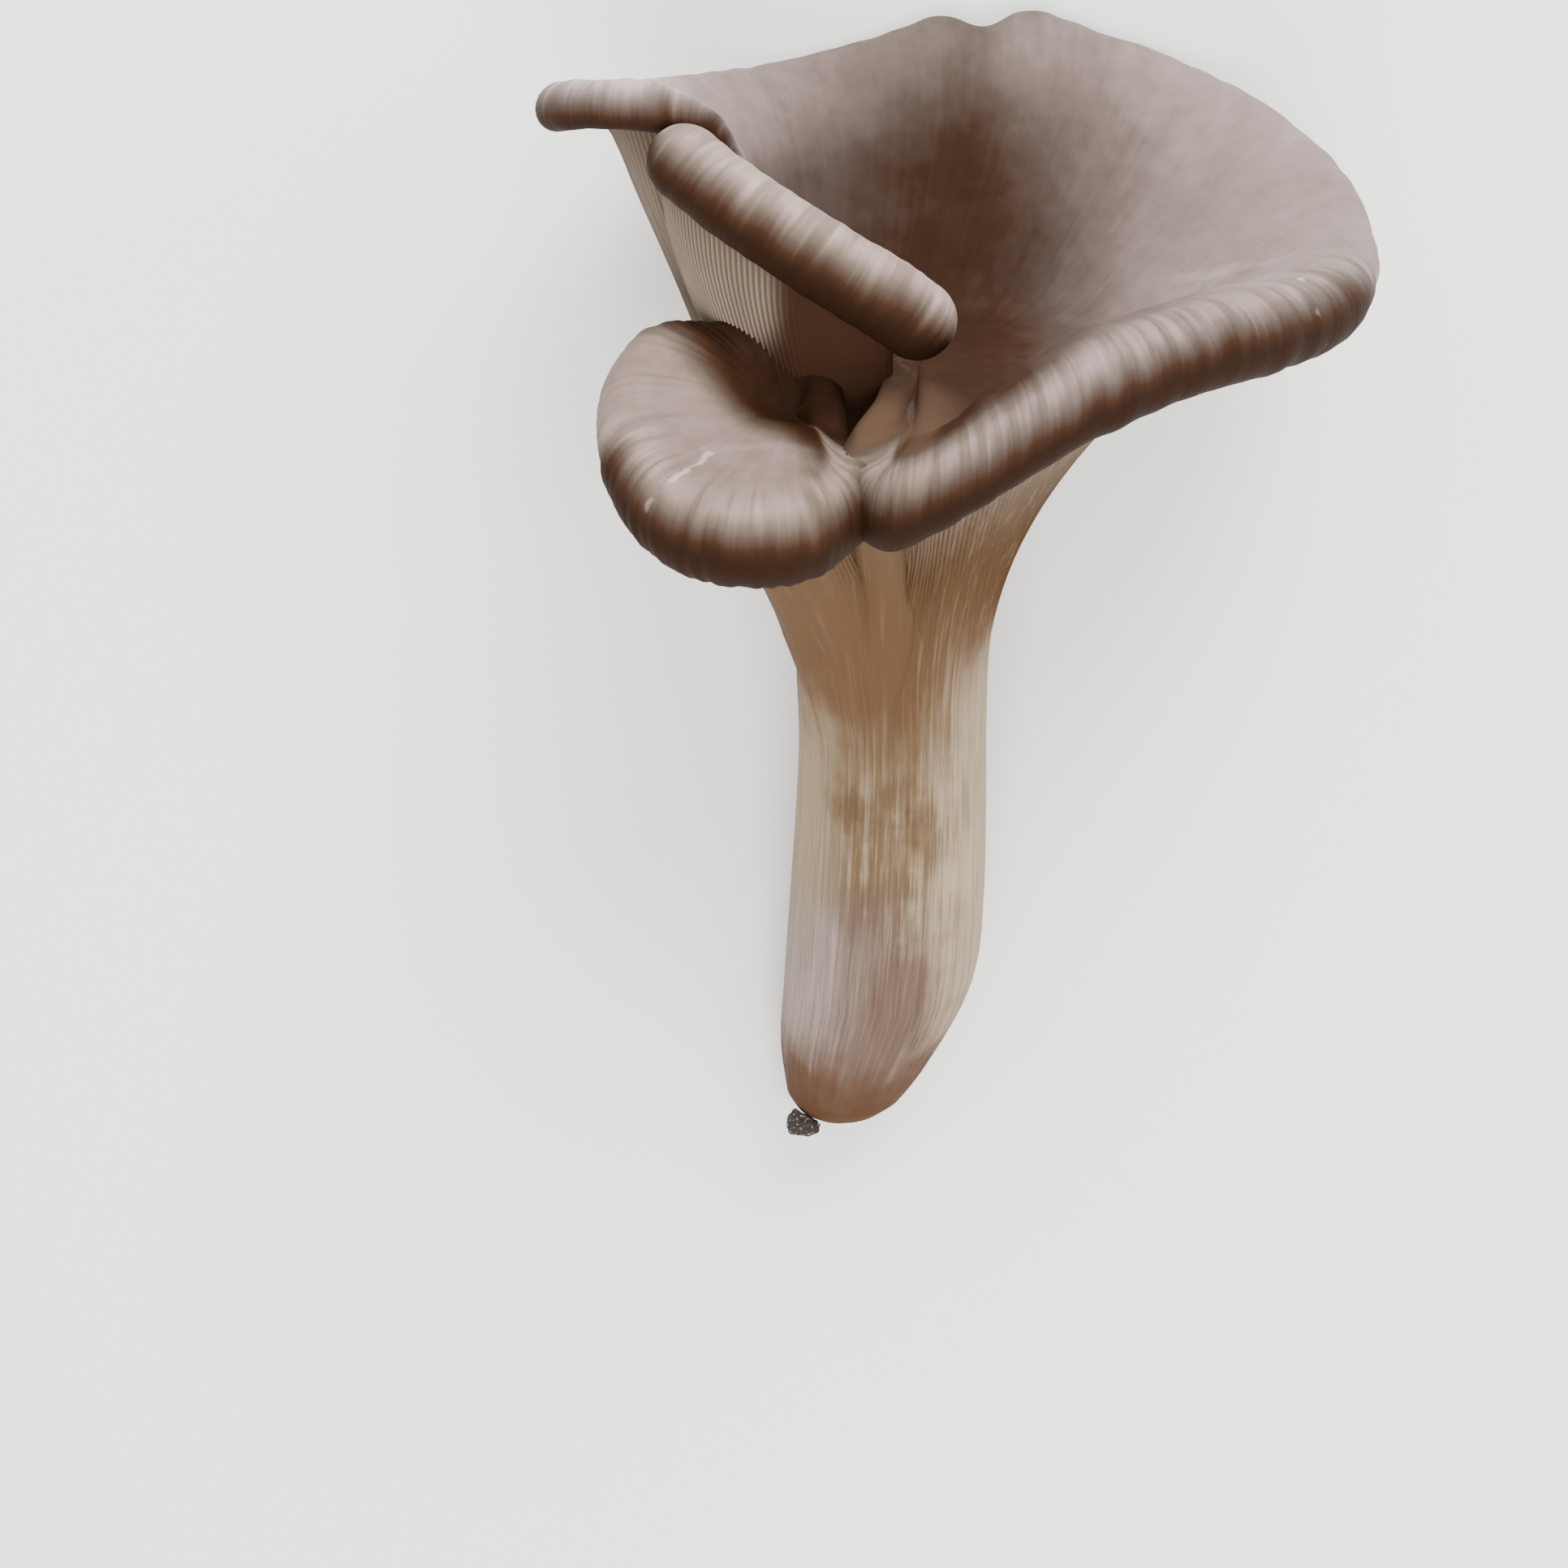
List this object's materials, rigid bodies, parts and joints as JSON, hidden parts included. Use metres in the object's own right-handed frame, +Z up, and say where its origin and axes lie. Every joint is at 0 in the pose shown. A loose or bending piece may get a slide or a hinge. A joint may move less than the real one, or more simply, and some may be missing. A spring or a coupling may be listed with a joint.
{
  "type": "king oyster mushroom",
  "caption": "Picked oyster mushroom lying on its back: thick stem, wide funnel cap with rolled wavy margin, gills running down the stem, and a smaller cap fused to the front.",
  "frame": {"origin": "middle of the bounding box, on the surface the mushroom lies on", "axes": "+Y along the stem from its foot to the cap, +Z up, away from the surface; the open front of the cap looks up"},
  "size_m": [0.1476, 0.2176, 0.1215],
  "materials": {
    "mushroom_flesh": "matt",
    "dark_substrate": "matt"
  },
  "bodies": {
    "root": {"fruit_body": "mushroom_flesh", "substrate_crumb": "dark_substrate"}
  },
  "joints": []
}
